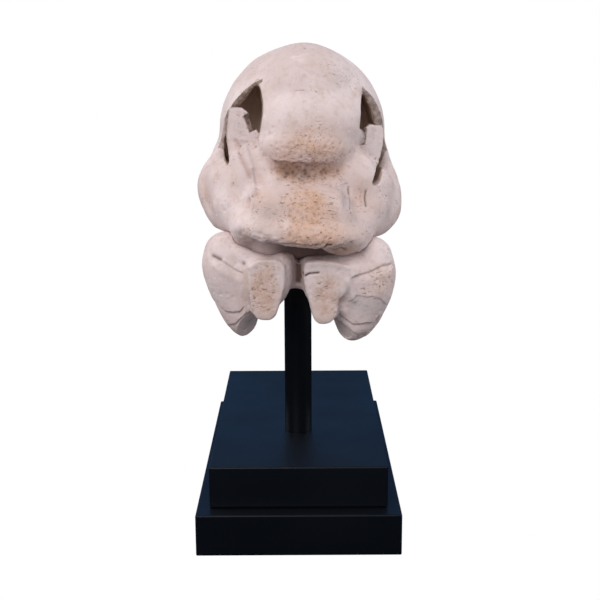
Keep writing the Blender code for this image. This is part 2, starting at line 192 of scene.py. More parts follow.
def prism(form, outline, low, high, axis="Z", slope=0):
    """An outline drawn out along an axis: of (x, y) corners along Z, or of (x, z) ones along Y.

    Along Y, slope sets the outer corners further back than those at SLOPE_START.
    """
    if axis == "Z":
        corners = [(a, b, low) for a, b in outline]
        way = (0, 0, high - low)
    else:
        corners = [(a, low + slope * (abs(a) - SLOPE_START), b) for a, b in outline]
        way = (0, high - low, 0)
    flat = bmesh.new()
    base = flat.faces.new([flat.verts.new(corner) for corner in corners])
    drawn = bmesh.ops.extrude_face_region(flat, geom=[base])["geom"]
    moved = [item for item in drawn if isinstance(item, bmesh.types.BMVert)]
    bmesh.ops.translate(flat, verts=moved, vec=way)
    bmesh.ops.recalc_face_normals(flat, faces=flat.faces)
    mesh = mesh_of("prism", flat)
    form.from_mesh(mesh)
    bpy.data.meshes.remove(mesh)


def applied(made):
    """Replaces the object's mesh with its modified one."""
    bpy.context.view_layer.update()
    graph = bpy.context.evaluated_depsgraph_get()
    mesh = bpy.data.meshes.new_from_object(made.evaluated_get(graph))
    made.modifiers.clear()
    made.data = mesh
    return made


def fused(made, voxel, smoothing):
    """Overlapping shapes made one closed skin, and its creases softened over some millimetres."""
    remesh = made.modifiers.new("Fuse", "REMESH")
    remesh.mode = "VOXEL"
    remesh.voxel_size = voxel
    if smoothing:
        soften = made.modifiers.new("Soften", "SMOOTH")
        soften.factor = 0.5
        soften.iterations = smoothing
    return applied(made)


def soften(made, weight, rounds):
    """Draws each point towards its neighbours' middle, as far as the weight there says."""
    mesh = made.data
    count = len(mesh.vertices)
    points = np.empty(3 * count, np.float32)
    mesh.vertices.foreach_get("co", points)
    points = points.reshape(-1, 3).astype(float)
    ends = np.empty(2 * len(mesh.edges), np.int32)
    mesh.edges.foreach_get("vertices", ends)
    one, other = ends.reshape(-1, 2).T
    from_ends, to_ends = np.concatenate([one, other]), np.concatenate([other, one])
    shares = np.bincount(from_ends, minlength=count)[:, None]
    pull = 0.5 * weight(*points.T)[:, None]
    for _ in range(rounds):
        sums = [np.bincount(from_ends, points[to_ends, axis], count) for axis in range(3)]
        points += pull * (np.stack(sums, axis=1) / shares - points)
    mesh.vertices.foreach_set("co", points.astype(np.float32).ravel())
    mesh.update()


def cut(made, name, form):
    step = made.modifiers.new(name, "BOOLEAN")
    step.operation = "DIFFERENCE"
    step.object = add_object(name, mesh_of(name, form))
    return applied(made)


def gathered(name, pieces):
    form = bmesh.new()
    for piece in pieces:
        form.from_mesh(piece.data)
    return add_object(name, mesh_of(name, form))


def placed(made, lean, turn):
    """From the bones' upright frame in millimetres to their place on the rod in metres."""
    about = Matrix.Translation(PIVOT)
    rest = about @ Matrix.Rotation(lean, 4, "Y") @ Matrix.Rotation(turn, 4, "Z") @ about.inverted()
    made.data.transform(Matrix.Scale(MM, 4) @ rest)


# ---------------------------------------------------------------- working a skin

def path_distance(points, path):
    """How far each (x, z) point is from a line through the path's corners."""
    found = np.full(len(points), 1e9)
    for a, b in zip(path, path[1:]):
        a = np.array(a, float)
        run = np.array(b, float) - a
        t = np.clip((points - a) @ run / (run @ run), 0, 1)
        found = np.minimum(found, np.linalg.norm(points - a - t[:, None] * run, axis=1))
    return found


def within(points, outline):
    """Which (x, z) points are inside a closed outline."""
    inside = np.zeros(len(points), bool)
    x, z = points.T
    for (ax, az), (bx, bz) in zip(outline, [*outline[1:], outline[0]]):
        if az != bz:
            crosses = (az > z) != (bz > z)
            inside ^= crosses & (x < ax + (z - az) * (bx - ax) / (bz - az))
    return inside


def lattice_noise(points, size, seed):
    """Smooth noise from -1 to 1, with features of about this size."""
    table = np.random.default_rng(seed).uniform(-1, 1, (32, 32, 32))
    spot = points / size + 100
    low = np.floor(spot).astype(int)
    t = spot - low
    t = t * t * (3 - 2 * t)
    found = 0
    for corner in np.ndindex(2, 2, 2):
        index = (low + corner) % 32
        weight = np.prod(np.where(corner, t, 1 - t), axis=1)
        found = found + weight * table[index[:, 0], index[:, 1], index[:, 2]]
    return found


class Skin:
    """A form's points, normals and painted amounts, worked mostly in its front view."""

    def __init__(self, made):
        self.made = made
        count = len(made.data.vertices)
        self.paint = {name: np.zeros(count) for name in PAINTS}
        self.read()

    def read(self):
        mesh = self.made.data
        count = len(mesh.vertices)
        self.points = np.empty(3 * count, np.float32)
        mesh.vertices.foreach_get("co", self.points)
        self.points = self.points.reshape(-1, 3).astype(float)
        self.normals = np.empty(3 * count, np.float32)
        mesh.vertex_normals.foreach_get("vector", self.normals)
        self.normals = self.normals.reshape(-1, 3).astype(float)
        self.front = np.clip(-1.6 * self.normals[:, 1] + 0.25, 0, 1) * (self.points[:, 1] < 12)

    def write(self):
        self.made.data.vertices.foreach_set("co", self.points.astype(np.float32).ravel())
        self.made.data.update()

    def again(self):
        """Takes the new normals after the points have moved."""
        self.write()
        self.read()

    def push(self, amount):
        self.points += self.normals * np.asarray(amount)[:, None]

    def patch(self, centre, radii, power=1):
        """A soft (x, z) patch: 1 at its centre, gone past its radii, squarer at a higher power."""
        x, z = self.points[:, 0], self.points[:, 2]
        away = ((x - centre[0]) / radii[0]) ** 2 + ((z - centre[1]) / radii[1]) ** 2
        return np.exp(-away ** power)

    def stroke(self, path, width, depth, dirt=0.0, grey=0.0, stain=0.0):
        """A crease along a path of (x, z) corners, or a ridge where depth is negative."""
        near = np.exp(-(path_distance(self.points[:, [0, 2]], path) / width) ** 2) * self.front
        self.push(-depth * near)
        self.paint["dirt"] += dirt * near
        self.paint["grey"] += grey * near
        self.paint["stain"] += stain * near

    def ledge(self, path, depth, reach, dirt=0.0, grey=0.0):
        """Sinks what lies just under a path that runs left to right, so that its edge overhangs,
        and paints shade in a thin band just under that edge.
        """
        line = np.array(path, float)
        below = np.interp(self.points[:, 0], line[:, 0], line[:, 1]) - self.points[:, 2]
        ends = np.clip((self.points[:, 0] - line[0, 0]) / 2, 0, 1)
        ends = ends * np.clip((line[-1, 0] - self.points[:, 0]) / 2, 0, 1) * self.front
        fall = np.clip(below / 0.9, 0, 1) * np.exp(-np.clip(below, 0, None) / reach) * ends
        self.push(-depth * fall)
        self.paint["dirt"] += dirt * np.exp(-((below - 0.9) / 1.1) ** 2) * ends
        self.paint["grey"] += grey * fall

    def mound(self, centre, radii, height, **paint):
        """A swelling about a point, or a hollow where height is negative."""
        away = (self.points - np.array(centre)) / np.array(radii)
        near = np.exp(-(away ** 2).sum(axis=1))
        self.push(height * near)
        for name, amount in paint.items():
            self.paint[name] += amount * near

    def facet(self, point, normal, centre, reach, rim=0.0):
        """Shaves off what stands out beyond a plane near a centre, and marks the face as broken."""
        normal = np.array(normal, float)
        normal /= np.linalg.norm(normal)
        out = (self.points - np.array(point, float)) @ normal
        near = np.linalg.norm(self.points - np.array(centre, float), axis=1) < reach
        shave = np.where(near & (out > 0), out, 0)
        self.points -= shave[:, None] * normal
        self.paint["rim"] += rim * (shave > 0)

    def roughen(self, size, height, seed, where=1.0):
        self.push(height * lattice_noise(self.points, size, seed) * where)

    def peck(self, count, where, sizes, depth, seed, dirt=0.5):
        """Small pits, placed at random where the given weight is high."""
        draw = np.random.default_rng(seed)
        chance = np.clip(where, 0, None)
        picked = draw.choice(len(self.points), count, p=chance / chance.sum())
        sunk = np.zeros(len(self.points))
        for centre, size in zip(self.points[picked], draw.uniform(*sizes, count)):
            away = self.points - centre
            inside = np.abs(away).max(axis=1) < 2.5 * size
            away = away[inside] * draw.uniform(0.7, 1.3, 3)
            shape = np.exp(-((away ** 2).sum(axis=1) / size ** 2) ** 1.5)
            sunk[inside] = np.maximum(sunk[inside], shape * size)
        self.push(-depth * sunk)
        self.paint["dirt"] += dirt * np.clip(sunk / sizes[1], 0, 1)

    def finish(self):
        self.write()
        for name, amount in self.paint.items():
            layer = self.made.data.attributes.new(name, "FLOAT", "POINT")
            layer.data.foreach_set("value", np.clip(amount, 0, 1).astype(np.float32))


# ---------------------------------------------------------------- the skull's forms

def hood():
    """The dome, forehead and side walls, with the eye openings cut into their front."""
    form = bmesh.new()
    # Dome, back of the head, crown, forehead and brow.
    ball(form, DOME_CENTRE, DOME_RADII)
    ball(form, (2, 66, 326), (68, 66, 62))
    ball(form, (4, 4, 399), (50, 74, 38.5))
    ball(form, (6, -34, 366), (54, 54, 40))
    ball(form, (2, -50, 347), (47, 45, 24))
    # Side walls that run down to the cheeks, in three bars one behind the other.
    for y, inset in ((-12, 2.5), (14, 0), (40, 0)):
        limb(form, [(inset - 60, y, 366, 13.5), (inset - 64, y, 346, 13.5), (-70, y, 331, 13.5),
                    (-82, y, 308, 13)])
        limb(form, [(68 - inset, y, 366, 14), (71.5 - inset, y, 348, 13.5), (76, y, 334, 13.5),
                    (84, y, 310, 13)])
    for side in (-1, 1):
        wide = 64 + 4 * side
        limb(form, [(wide, 70, 368, 14), (wide + 1, 74, 340, 14), (66, 76, 312, 14)], side)
        limb(form, [(84, -8, 306, 12), (82, 34, 298, 11), (70, 62, 292, 12)], side)
    dome = fused(add_object("hood", mesh_of("hood", form)), ROUGH_VOXEL, 24)

    form = bmesh.new()
    prism(form, LEFT_OPENING, *OPENING_DEPTH, "Y")
    prism(form, RIGHT_OPENING, *OPENING_DEPTH, "Y")
    cut(dome, "openings", form)

    form = bmesh.new()
    for rim in (LEFT_RIM, RIGHT_RIM):
        (inner, _), (outer, _) = rim[0], rim[-1]
        prism(form, [(inner, -200), *rim, (outer, -200)], *RIM_HEIGHTS)
    return cut(dome, "rim_cuts", form)


def face():
    """Nose saddle, snout and lip, the palate behind it, and the flaring cheeks."""
    form = bmesh.new()
    # Saddle, nose, the two swellings of the snout, and the palate.
    ball(form, (0, -42, 318), (60, 46, 34))
    ball(form, (0, -74, 295), (47, 52, 26))
    ball(form, (-27, -88, 297), (25, 34, 22))
    ball(form, (27, -87, 292), (24, 33, 22))
    ball(form, (0, -84, 283), (46, 44, 15))
    ball(form, (0, -30, 268), (50, 34, 19))
    ball(form, (0, 0, 292), (62, 80, 28))
    # The lip, its torn corners, and the roll of bone behind it.
    limb(form, [(-54, -98, 279, 9), (-43, -111, 280, 10), (-28, -120, 278, 10),
                (-10, -127, 277, 10), (4, -129, 275.5, 10), (18, -127, 275, 10),
                (32, -119, 274, 11), (46, -106, 272, 11)])
    limb(form, [(-59, -91, 273, 6), (-55, -98, 269, 3.5)])
    limb(form, [(22, -112, 267, 8), (34, -108, 264, 9), (46, -101, 266, 9), (56, -90, 272, 9)])
    limb(form, [(-50, -83, 266, 11), (-26, -84, 259, 10), (0, -80, 258, 10), (26, -82, 259, 10),
                (48, -84, 267, 11)])
    # Where the side walls meet the cheeks, then the cheeks' flaring edges.
    limb(form, [(-75, -14, 330, 10), (-80, -14, 318, 12)])
    limb(form, [(80, -2, 346, 5), (81, -3, 336, 7), (82, -4, 326, 9), (85, -6, 316, 10)])
    limb(form, [(-82, -12, 318, 11), (-80, -22, 305, 16), (-76, -36, 293, 15.5),
                (-69, -50, 281, 14), (-58, -70, 283, 14), (-46, -94, 281, 12)])
    limb(form, [(82, -12, 318, 11), (81, -22, 306, 16), (79, -32, 290, 18),
                (72, -46, 281, 16), (60, -68, 281, 15), (48, -92, 279, 12)])
    # The fronts of the cheeks, from beside the brow down.
    for side in (-1, 1):
        limb(form, [(46, -47, 342, 8), (47, -54, 332, 13), (50, -63, 316, 17)], side)
        limb(form, [(54, -54, 330, 13), (56, -60, 308, 18)], side)
        ball(form, (63, -36, 306), (25, 30, 27), side=side)
        ball(form, (58, -56, 294), (24, 28, 20), side=side)
        limb(form, [(80, -14, 297, 15), (78, 14, 292, 12)], side)
    prism(form, LEFT_ROOT, *ROOT_DEPTH, "Y", slope=SIDE_SLOPE)
    prism(form, RIGHT_ROOT, *ROOT_DEPTH, "Y", slope=SIDE_SLOPE)
    return fused(add_object("face", mesh_of("face", form)), ROUGH_VOXEL, 10)


def plates():
    """The thin broken plates that stand in the eye openings, left sharp."""
    form = bmesh.new()
    prism(form, LEFT_PLATE, *PLATE_DEPTH, "Y", slope=SIDE_SLOPE)
    prism(form, RIGHT_PLATE, *PLATE_DEPTH, "Y", slope=SIDE_SLOPE)
    return add_object("plates", mesh_of("plates", form))


def back_of_skull():
    """Nuchal shelf with its knobs, the side processes, the neck condyle and the quadrates."""
    form = bmesh.new()
    ball(form, (0, 84, 318), (54, 46, 44))
    limb(form, [(-62, 92, 352, 9), (-50, 110, 358, 11), (0, 126, 362, 12), (52, 110, 358, 11),
                (70, 86, 352, 10)])
    for step in range(-3, 4):
        angle = radians(24 * step)
        ball(form, (5 + 70 * sin(angle), 46 + 90 * cos(angle), 353), (8, 8, 9))
    ball(form, (0, 122, 288), (13, 14, 12))
    limb(form, [(0, 118, 288, 13), (0, 80, 284, 18), (0, 40, 282, 22)])
    for side in (-1, 1):
        limb(form, [(20, 112, 316, 14), (44, 110, 310, 12), (62, 96, 298, 10)], side)
        limb(form, [(60, 76, 316, 13), (58, 68, 290, 11), (55, 60, 266, 9)], side)
        ball(form, (54, 58, 257), (12, 9, 8), side=side)
        limb(form, [(74, 30, 290, 11), (62, 54, 276, 10)], side)
        limb(form, [(20, 60, 278, 14), (38, 40, 270, 10), (50, 8, 266, 8)], side)
    return fused(add_object("back_of_skull", mesh_of("back_of_skull", form)), ROUGH_VOXEL, 12)


def cut_windows(made):
    """Cuts the side windows, the nostrils, the pits on the dome's rear and the neck opening."""
    form = bmesh.new()
    for side in (-1, 1):
        ball(form, (86, 53, 322), (26, 16, 16), side=side)
        ball(form, (52, -98, 298), (11, 11, 6), tilt=20, side=side)
        ball(form, (30, 96, 416), (12, 15, 16), side=side)
    ball(form, (0, 132, 308), (10, 20, 9))
    return cut(made, "windows", form)


def work_skull(skin):
    """Creases, swellings, cracks, pits and colour on the skull, mostly as (x, z) paths."""
    paint_openings(skin)
    # The broken thickness of both plates, towards the openings.
    skin.facet((-47, -43, 366), (0.74, -0.54, 0.39), (-47, -48, 366), 9, rim=0.5)
    skin.facet((55, -41, 357), (-0.62, -0.76, 0.1), (56, -46, 357), 8, rim=0.5)
    whole = 1 - np.clip(skin.paint["inside"] + skin.paint["rim"], 0, 1)
    skin.roughen(38, 0.8, 1)
    skin.roughen(14, 0.45, 2, where=whole)
    skin.again()
    work_dome_and_nose(skin)
    work_beside_snout(skin)
    work_lip(skin)
    wear_and_shade_skull(skin, whole)


def work_dome_and_nose(skin):
    """Dents and a flake on the dome, the brow's edge, the saddle below it and the snout."""
    # The dome rises to a slight peak; faint dents and one flaked spot lie on its front.
    skin.mound((3, 10, 438), (24, 60, 18), 2.4)
    skin.mound((-25, -60, 392), (6, 30, 5), -0.7)
    skin.mound((-25, -70, 376), (6, 30, 8), -0.8)
    skin.stroke([(-4, 419), (1, 416), (6, 411)], 2.0, 0.8, dirt=0.12)
    skin.stroke([(2, 419), (8, 413)], 1.6, -0.7)

    # The brow turns in under a ragged lower edge, above a saddle that is stained and darkened
    # with painted shade.
    skin.stroke([(-26, 336), (-12, 337), (0, 337), (16, 337), (30, 336)], 3.0, -1.0)
    skin.stroke([(-27, 332), (-16, 330), (-4, 331), (14, 330), (34, 331)], 4.5, 2.0,
                dirt=0.18, stain=0.4)
    skin.stroke([(-24, 332), (-14, 329), (-4, 328), (4, 325)], 3.2, 1.2, dirt=0.14)
    skin.stroke([(-18, 325), (-4, 322), (12, 323), (32, 326)], 6, 1.4, dirt=0.2, stain=0.4)
    skin.ledge([(-30, 339), (-24, 335), (-17, 337), (-10, 335), (-4, 337), (3, 335), (10, 337)],
               1.3, 4, dirt=0.15)
    # The snout's swellings, a dip between them, and the crease where its left side ends.
    skin.mound((-27, -105, 298), (15, 30, 15), 2.6)
    skin.mound((31, -108, 292), (11, 30, 17), 1.8)
    skin.mound((9, -124, 286), (12, 30, 9), 1.6)
    skin.mound((-2, -112, 307), (14, 30, 12), -2.0)
    skin.stroke([(-36, 318), (-42, 304), (-46, 291), (-51, 276)], 5, 1.3, stain=0.35)
    skin.again()


def work_beside_snout(skin):
    """Furrows, ridges and hollows between the snout and the cheeks."""
    # Left of the snout: the furrow from the plate down, and a sharp little ridge beside it.
    skin.stroke([(-60, 349), (-56, 341), (-52, 333), (-48, 326), (-46, 321)], 2.0, 2.4,
                dirt=0.22, stain=0.3)
    skin.stroke([(-57, 364), (-53, 351), (-49, 339), (-46, 328), (-43, 320)], 4.5, 0.0, grey=0.2)
    skin.stroke([(-53, 351), (-49, 340), (-45, 329)], 2.2, -1.4)
    skin.stroke([(-46, 327), (-44.5, 321), (-43.5, 316), (-43, 309)], 1.5, -2.4)
    skin.stroke([(-42, 326), (-40.5, 318), (-40, 309)], 1.8, 1.6, dirt=0.12)
    skin.stroke([(-66, 330), (-62, 318), (-60, 304)], 5, 1.5, stain=0.3)
    skin.stroke([(-80, 330), (-77, 323), (-76, 316)], 2.0, 1.0, stain=0.4)
    # Right of the snout: a hollow painted grey as its shade, and a stained one with upright cracks.
    skin.mound((37, -98, 306), (4.5, 30, 10), -3.0, grey=0.9)
    skin.mound((49, -90, 304), (7, 30, 11), -1.8, stain=0.4)
    skin.stroke([(41, 313), (42, 306), (41, 299)], 1.0, 1.6, dirt=0.6)
    skin.stroke([(57, 311), (56, 305), (57, 298)], 1.0, 1.4, dirt=0.6)


def work_lip(skin):
    """Its ragged edge with painted shade under it, a torn corner on the right, and a step at the
    left cheek.
    """
    skin.ledge([(-50, 277), (-42, 280), (-34, 278), (-24, 277)], 0.5, 4, dirt=0.05)
    skin.ledge([(-34, 272), (-22, 271), (-10, 272), (4, 271), (16, 273)], 0.9, 4, dirt=0.22)
    skin.stroke([(17, 268), (20, 270), (23, 270)], 1.2, 2.0, dirt=0.7)
    skin.ledge([(19, 266), (24, 269), (30, 271), (36, 270), (44, 274)], 2.4, 6, dirt=0.12)
    # The hollow under the torn corner: stained tan, and darkened with painted shade.
    skin.mound((34, -114, 264), (13, 14, 7), -0.6, stain=0.9, dirt=0.12)
    skin.stroke([(28, 259), (35, 258), (42, 257.5), (48, 260)], 1.2, 1.6, dirt=0.45)
    skin.stroke([(26, 264), (32, 266), (37, 264)], 1.0, 1.2, dirt=0.4)
    skin.stroke([(-54, 273), (-55, 280), (-53, 286)], 1.4, 1.2, dirt=0.2)
    skin.mound((-78, -40, 271), (4, 10, 3), 1.6)
    skin.stroke([(-88, 312), (-86, 300), (-83, 290)], 4, 0.8, stain=0.4)
    skin.again()


def wear_and_shade_skull(skin, whole):
    """Pits, roughness, dirt, stains and painted shade; whole is 0 where the outer face is
    broken away.
    """
    x, y, z = skin.points.T
    # Painted shade under the lip, strongest in the middle of the mouth and at its left corner.
    under_lip = np.clip((268 - z) / 3, 0, 1) * (y > -103) * (y < -60)
    deep = np.exp(-((x - 3) / 28) ** 4) + 0.6 * np.exp(-(((x + 48) / 7) ** 2))
    skin.paint["dirt"] += under_lip * (0.12 + 0.6 * deep)
    # Brow, saddle, nose and lip are worn down to spongy bone.
    spongy = skin.patch((2, 345), (40, 12), 2) + 1.1 * skin.patch((-2, 328), (28, 8), 2)
    spongy += 0.8 * skin.patch((0, 302), (16, 16), 2)
    spongy += 0.5 * skin.patch((-5, 274), (45, 6), 2)
    spongy *= skin.front * whole
    skin.peck(420, spongy, (0.6, 1.5), 0.7, 3, dirt=0.2)
    skin.peck(90, skin.front * whole * (z > 262), (0.7, 1.6), 0.4, 4, dirt=0.15)
    skin.peck(120, whole, (0.8, 2.2), 0.4, 5, dirt=0.12)
    skin.roughen(4.5, 0.26, 6, where=0.25 + spongy)
    skin.roughen(3.2, 0.5, 7, where=skin.paint["rim"])
    lip_edge = np.exp(-(((z - 268) / 7) ** 2)) * (y < -92) * (np.abs(x) < 62)
    skin.roughen(5, 0.9, 9, where=lip_edge)
    skin.roughen(2.6, 0.35, 10, where=lip_edge + 0.5 * spongy)
    skin.roughen(9, 0.9, 8, where=skin.paint["inside"])

    tan = skin.patch((2, 298), (26, 22)) + 0.7 * skin.patch((12, 278), (26, 10))
    tan += 0.6 * skin.patch((8, 358), (22, 16)) + 0.5 * spongy
    skin.paint["stain"] += tan * skin.front
    # Painted shade in the brow's saddle, the furrow left of the snout and the hollow right of it.
    saddle = skin.patch((2, 325), (36, 7), 2)
    furrow = skin.patch((-52, 310), (10, 24))
    hollow = skin.patch((60, 306), (8, 12))
    shade = 0.10 * saddle + 0.07 * furrow + 0.05 * hollow
    skin.paint["dirt"] += 0.10 * spongy + shade * skin.front


def paint_openings(skin):
    """Marks what lies inside the eye openings and the broken faces round them, and paints shade
    in the slits and along the openings' borders.
    """
    x, y, z = skin.points.T
    facing = skin.normals[:, 1]
    front = skin.points[:, [0, 2]]
    for side, outline, rim, slit, plate in (
            (-1, LEFT_OPENING, LEFT_RIM, LEFT_SLIT, LEFT_PLATE),
            (1, RIGHT_OPENING, RIGHT_RIM, RIGHT_SLIT, RIGHT_PLATE)):
        # The slit's walls, darkened with painted shade, and the opening's walls with a border of
        # painted shade along its outline.
        in_slit = within(front, slit) | (path_distance(front, [*slit, slit[0]]) < 1.3)
        sunk = in_slit & (facing > -0.45) & (z < 350) & (y > -44)
        skin.paint["inside"] += sunk * 0.9
        skin.paint["dirt"] += sunk * 0.45
        line = np.array(rim)[::side]
        behind = y - np.interp(x, line[:, 0], line[:, 1])
        from_outline = path_distance(front, [*outline, outline[0]])
        hole = within(front, outline) | (from_outline < 1.6)
        skin.paint["inside"] += hole & (behind > 1.8) & (y < 45)
        skin.paint["dirt"] += ((behind > 1.2) & (y < 30) & (from_outline < 2.6)) * 0.35
        # The broken face that the rim cut leaves, darker above on the left.
        broken = (side * x > 37) & (z > 321) & (np.abs(behind) < 1.8) & (facing < -0.5)
        skin.paint["rim"] += broken * (np.where(z < 368, 0.7, 1.0) if side < 0 else 0.88)
        skin.paint["dirt"] += broken * (z > 380) * (0.32 if side < 0 else 0.03)
        # The plate's edge.
        depth = y - SIDE_SLOPE * (np.abs(x) - SLOPE_START)
        in_plate = (depth > PLATE_DEPTH[0] - 1) & (depth < PLATE_DEPTH[1] + 1)
        edge = in_plate & (path_distance(front, [*plate, plate[0]]) < 2.2)
        skin.paint["rim"] += (edge & (facing > -0.8) & (z > 340)) * 0.5
    for name in ("inside", "rim"):
        skin.paint[name] = np.clip(skin.paint[name], 0, 1)


def work_jaw(skin):
    """The jaw's furrows, facets, layered cracks, pits, colour and painted shade."""
    skin.roughen(30, 0.7, 11)
    skin.roughen(12, 0.4, 12)
    skin.again()

    # Furrows across both lobes, each with painted shade under its edge, darkest at the left lobe's
    # outer end, and a lit roll of bone below.
    skin.ledge([(-78, 254), (-69, 251), (-62, 247), (-55, 242), (-48, 240)], 3.0, 5, dirt=0.22)
    skin.stroke([(-75, 253), (-68, 250.5)], 2.0, 1.8, dirt=0.45)
    skin.stroke([(-72, 244), (-62, 238), (-54, 233)], 4.0, -1.6)
    skin.ledge([(46, 239), (55, 242), (62, 244), (68, 247), (75, 250), (84, 250)], 2.8, 5, dirt=0.2)
    skin.stroke([(80, 243), (70, 240), (60, 236)], 4.0, -1.2)
    skin.mound((-48, -104, 248), (2.2, 12, 2.2), -1.6, dirt=0.6)
    skin.stroke([(-47, 244), (-47, 230), (-45, 214)], 2.6, 1.0, stain=0.2)
    skin.again()

    # The left tip: layered edges above a dark break that faces in and down.
    skin.mound((-64, -106, 218), (12, 16, 10), -0.8, grey=0.35)
    skin.ledge([(-76, 214), (-73, 211), (-69, 208), (-63, 204), (-56, 204), (-50, 205), (-46, 210)],
               3.0, 6, dirt=0.4)
    skin.ledge([(-62, 190), (-59, 191), (-54, 193), (-49, 199), (-43, 205)], 2.0, 6, dirt=0.4)
    skin.facet((-47, -103, 198), (0.62, -0.62, -0.48), (-42, -95, 192), 19)
    skin.mound((-42, -94, 192), (7, 12, 9), 0, grey=1.0, dirt=0.18)
    # The right tip: the same layers, wider, below a flat grey patch.
    skin.ledge([(44, 215), (47, 218), (52, 223), (60, 222), (66, 223), (74, 220), (80, 213)],
               1.0, 9, grey=0.5)
    skin.mound((58, -108, 211), (17, 20, 9), -0.8, grey=0.6)
    skin.ledge([(36, 206), (43, 200), (50, 196), (56, 197), (62, 198), (69, 197), (74, 205)],
               3.0, 6, dirt=0.3)
    skin.ledge([(33, 198), (41, 193), (48, 189), (55, 186), (63, 188)], 2.4, 6, dirt=0.25)
    skin.facet((37, -100, 203), (-0.66, -0.58, -0.48), (38, -94, 194), 17)
    skin.mound((38, -97, 191), (7, 12, 8), 0, grey=0.9, dirt=0.2)

    # The prongs: worn fronts, a ridge along their tops and a crack at the right one's root.
    skin.stroke([(-42, 246), (-38, 249), (-32, 252), (-20, 252)], 2.0, -1.0)
    skin.stroke([(8, 250), (20, 251.5), (35, 251), (45, 248)], 2.0, -1.0)
    skin.stroke([(4, 239), (6, 240), (10, 242), (18, 243)], 1.0, 2.2, dirt=0.8)
    # A hollow at the right prong's lower right side, stained tan and darkened with painted shade.
    skin.mound((39, -110, 217), (6, 14, 6), -3.6, stain=0.4, dirt=0.22)
    skin.stroke([(43, 236), (46, 227), (50, 218)], 2.2, -1.8)
    # Painted shade down the notch between the prongs: a wide soft band, a narrow dark line in it.
    skin.stroke([(-1, 257), (-0.5, 241), (0, 230)], 7.0, 0.8, dirt=0.35)
    skin.stroke([(0, 256), (0.5, 241), (0.5, 230)], 2.0, 2.0, dirt=0.5)
    skin.mound((-27, -110, 196), (8, 10, 4), -1.5, grey=0.3, dirt=0.12)
    skin.mound((24, -110, 194), (8, 10, 4), -1.5, grey=0.3, dirt=0.12)
    skin.again()

    prongs = skin.patch((-29, 226), (12, 22), 2) + skin.patch((25, 222), (12, 20), 2)
    prongs *= skin.front
    skin.peck(220, prongs, (0.5, 1.2), 0.5, 13, dirt=0.14)
    skin.peck(110, skin.front, (0.7, 1.7), 0.5, 14, dirt=0.2)
    skin.peck(60, np.ones(len(skin.points)), (0.8, 2.0), 0.4, 15, dirt=0.15)
    skin.roughen(4.5, 0.26, 16, where=0.3 + 0.8 * prongs)
    skin.paint["stain"] += 0.7 * prongs + 0.5 * skin.patch((76, 235), (12, 12)) * skin.front
    skin.paint["dirt"] += 0.08 * prongs


# ---------------------------------------------------------------- materials

def srgb(red, green, blue):
    """An 8-bit screen colour as the linear values that the nodes take."""
    return [(value / 255 / 12.92 if value < 11 else ((value / 255 + 0.055) / 1.055) ** 2.4)
            for value in (red, green, blue)] + [1]


PALE_BONE, ROSY_BONE = srgb(227, 210, 208), srgb(212, 192, 188)
SANDY_BONE, CHALKY_BONE = srgb(203, 178, 164), srgb(234, 222, 218)
CLAY_BONE, TAN_BONE, GREY_BONE = srgb(188, 164, 152), srgb(208, 166, 140), srgb(172, 162, 164)
FIBRE, BLOTCH, PORE = srgb(196, 172, 162), srgb(168, 132, 108), srgb(118, 88, 72)
BROKEN_DARK, BROKEN_LIGHT = srgb(112, 92, 82), srgb(168, 148, 138)
HOLLOW_DARK, HOLLOW_LIGHT = srgb(212, 186, 166), srgb(238, 218, 202)
# The first colour here is the brown that dirt and painted shade both darken the bone towards.
EARTH_AND_SHADE, BONE_DUST, BLACK_DUST = srgb(92, 66, 54), srgb(240, 234, 228), srgb(92, 92, 96)
BLACK_LACQUER, BLACK_PAINT = srgb(7, 11, 18), srgb(10, 10, 13)


